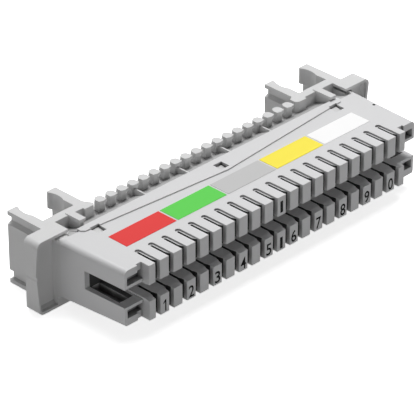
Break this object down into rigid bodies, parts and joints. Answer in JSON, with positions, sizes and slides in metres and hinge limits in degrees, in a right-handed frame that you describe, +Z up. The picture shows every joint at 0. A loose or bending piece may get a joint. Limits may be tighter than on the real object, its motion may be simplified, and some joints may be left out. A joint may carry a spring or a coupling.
{
  "type": "punch down wiring block",
  "caption": "Grey plastic punch down wiring block with combs of wire slots above and below a test plug channel, coloured pair labels, wire guides and arms that clip on upright round rods.",
  "frame": {"origin": "under the middle of the block, on the plane of the base's underside", "axes": "+X runs along the block to the user's right, +Y goes back from the fingers to the rod arms, and +Z goes up along the rods"},
  "size_m": [0.124, 0.0436, 0.0218],
  "materials": {
    "housing_plastic": "satin, fine moulded grain",
    "base_plastic": "satin, fine moulded grain",
    "contact_metal": "silver plated bronze, dull",
    "label_red": "printed film",
    "label_green": "printed film",
    "label_grey": "printed film",
    "label_yellow": "printed film",
    "label_white": "printed film"
  },
  "bodies": {
    "root": {"contact_housing": "housing_plastic", "mounting_base": "base_plastic", "upper_contact_01": "contact_metal", "upper_contact_02": "contact_metal", "upper_contact_03": "contact_metal", "upper_contact_04": "contact_metal", "upper_contact_05": "contact_metal", "upper_contact_06": "contact_metal", "upper_contact_07": "contact_metal", "upper_contact_08": "contact_metal", "upper_contact_09": "contact_metal", "upper_contact_10": "contact_metal", "upper_contact_11": "contact_metal", "upper_contact_12": "contact_metal", "upper_contact_13": "contact_metal", "upper_contact_14": "contact_metal", "upper_contact_15": "contact_metal", "upper_contact_16": "contact_metal", "upper_contact_17": "contact_metal", "upper_contact_18": "contact_metal", "upper_contact_19": "contact_metal", "upper_contact_20": "contact_metal", "lower_contact_01": "contact_metal", "lower_contact_02": "contact_metal", "lower_contact_03": "contact_metal", "lower_contact_04": "contact_metal", "lower_contact_05": "contact_metal", "lower_contact_06": "contact_metal", "lower_contact_07": "contact_metal", "lower_contact_08": "contact_metal", "lower_contact_09": "contact_metal", "lower_contact_10": "contact_metal", "lower_contact_11": "contact_metal", "lower_contact_12": "contact_metal", "lower_contact_13": "contact_metal", "lower_contact_14": "contact_metal", "lower_contact_15": "contact_metal", "lower_contact_16": "contact_metal", "lower_contact_17": "contact_metal", "lower_contact_18": "contact_metal", "lower_contact_19": "contact_metal", "lower_contact_20": "contact_metal", "label_red": "label_red", "label_green": "label_green", "label_grey": "label_grey", "label_yellow": "label_yellow", "label_white": "label_white"}
  },
  "joints": []
}
